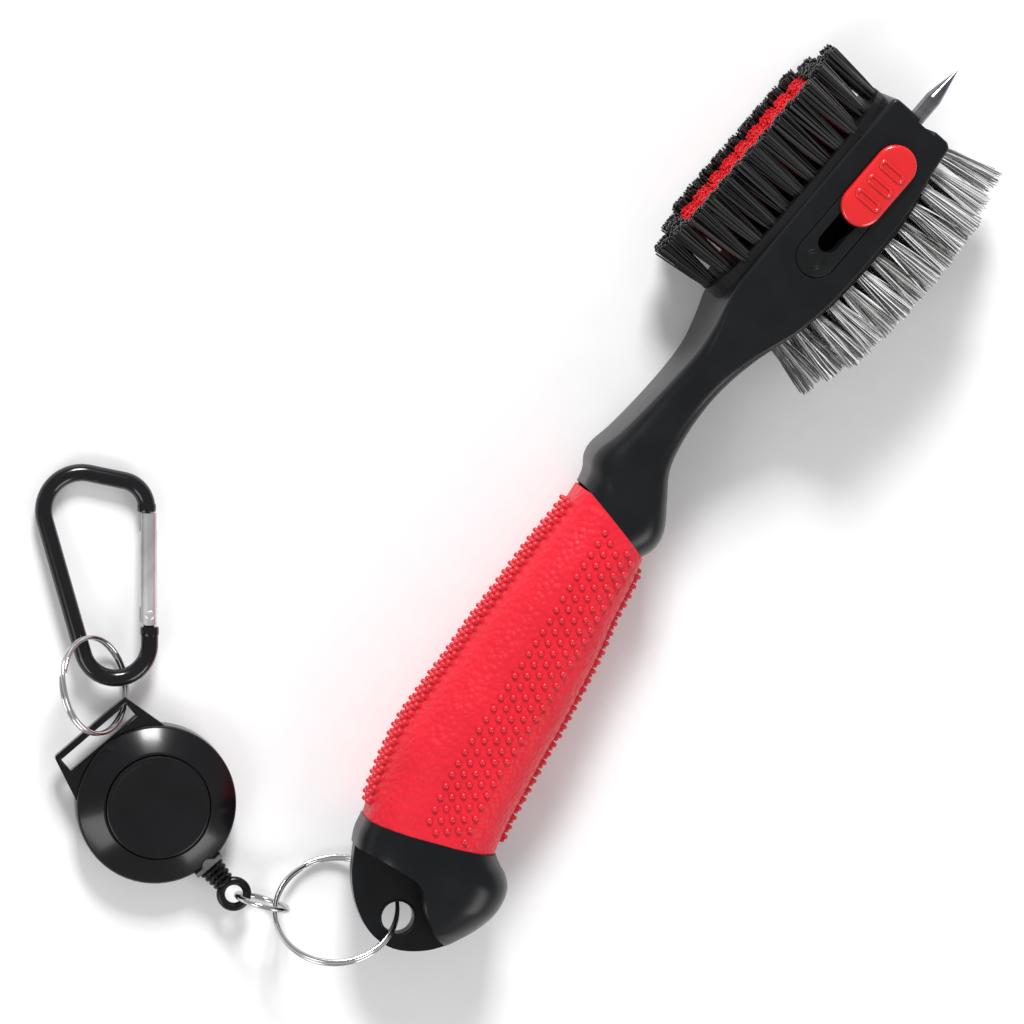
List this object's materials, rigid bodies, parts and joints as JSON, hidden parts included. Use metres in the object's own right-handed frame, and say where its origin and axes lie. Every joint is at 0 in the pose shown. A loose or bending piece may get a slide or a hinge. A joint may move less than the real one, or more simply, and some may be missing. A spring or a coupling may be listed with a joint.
{
  "type": "club groove brush",
  "caption": "Two-sided groove brush with nylon and wire tufts, a sliding steel spike, a soft grip, and a cord reel on split rings with a carabiner.",
  "frame": {"origin": "middle of the head's flat back face", "axes": "+Z out of the slider face, +Y along the head to the spike, +X to the wire tufts"},
  "size_m": [0.1254, 0.2339, 0.0281],
  "materials": {
    "black_plastic": "gloss, fine texture on the head",
    "pad_black": "matte",
    "nylon_black": "satin filament",
    "nylon_red": "satin filament",
    "steel_wire": "plain",
    "wire_bristle": "crimped wire",
    "slider_red": "gloss",
    "inner_grey": "matte",
    "bright_steel": "polished",
    "grip_red": "fine pebble grain",
    "cap_black": "satin",
    "nickel_ring": "bright nickel",
    "cord_black": "braided",
    "reel_black": "gloss",
    "bush_grey": "matte",
    "carabiner_black": "gloss",
    "gate_silver": "satin"
  },
  "bodies": {
    "brush": {"handle_core": "black_plastic", "nylon_pad": "pad_black", "nylon_tufts_black": "nylon_black", "nylon_tufts_red": "nylon_red", "nylon_anchors": "steel_wire", "wire_pad": "pad_black", "wire_tufts": "wire_bristle", "wire_anchors": "steel_wire", "track_plate": "black_plastic", "grip_sleeve": "grip_red", "end_cap": "cap_black"},
    "spike_unit": {"thumb_slider": "slider_red", "spike_carrier": "inner_grey", "spike": "bright_steel", "detent_spring": "steel_wire"},
    "lower_ring": {"lower_split_ring": "nickel_ring"},
    "link": {"link_ring": "nickel_ring"},
    "cord_end": {"cord_eye": "cap_black", "cord_lead": "cord_black"},
    "reel_case": {"reel_back_shell": "reel_black", "reel_front_shell": "reel_black", "reel_front_disc": "reel_black", "exit_bush": "bush_grey", "reel_axle": "steel_wire", "power_spring": "steel_wire"},
    "spool_unit": {"spool": "inner_grey", "cord_winding": "cord_black"},
    "upper_ring": {"upper_split_ring": "nickel_ring"},
    "carabiner": {"carabiner_frame": "carabiner_black", "gate_pivot_pin": "gate_silver"},
    "gate": {"carabiner_gate": "gate_silver", "gate_latch_pin": "steel_wire", "gate_plunger": "steel_wire", "gate_spring": "steel_wire"}
  },
  "joints": [
    {"name": "spike_slide", "type": "slide", "parent": "brush", "child": "spike_unit", "axis": [0, 1, 0], "range_m": [-0.0135, 0]},
    {"name": "lower_ring_turn", "type": "hinge", "parent": "brush", "child": "lower_ring", "pos_m": [0.02585, -0.16405, 0.013], "axis": [0, 0, 1], "range_deg": [-10, 15]},
    {"name": "link_turn", "type": "hinge", "parent": "lower_ring", "child": "link", "pos_m": [0.0066, -0.1782, 0.0064], "axis": [0, 0, 1], "range_deg": [-15, 15]},
    {"name": "eye_turn", "type": "hinge", "parent": "link", "child": "cord_end", "pos_m": [-0.00101, -0.18221, 0.005], "axis": [0, 0, 1], "range_deg": [-30, 30]},
    {"name": "cord_pull", "type": "slide", "parent": "cord_end", "child": "reel_case", "axis": [-0.9874, 0.1582, 0], "range_m": [0, 0.6], "stiffness_N_per_m": 1.33, "springref_m": -0.9},
    {"name": "spool_turn", "type": "hinge", "parent": "reel_case", "child": "spool_unit", "pos_m": [-0.0254, -0.1783, 0.004], "axis": [0, 0, 1], "range_deg": [0, 3290]},
    {"name": "upper_ring_swing", "type": "hinge", "parent": "reel_case", "child": "upper_ring", "pos_m": [-0.04549, -0.17508, 0.0048], "axis": [0.1582, 0.9874, 0], "range_deg": [0, 12]},
    {"name": "carabiner_swing", "type": "hinge", "parent": "upper_ring", "child": "carabiner", "pos_m": [-0.05149, -0.16778, 0.00827], "axis": [0.3969, 0.6043, 0.6909], "range_deg": [0, 25]},
    {"name": "gate_swing", "type": "hinge", "parent": "carabiner", "child": "gate", "pos_m": [-0.05161, -0.14994, 0.00388], "axis": [-0.043, 0.0505, 0.9978], "range_deg": [0, 26], "stiffness_Nm_per_rad": 0.02, "springref_deg": -17.19}
  ],
  "couplings": [
    {"joint": "spool_turn", "follows": "cord_pull", "rad_per_m": 95.24}
  ]
}
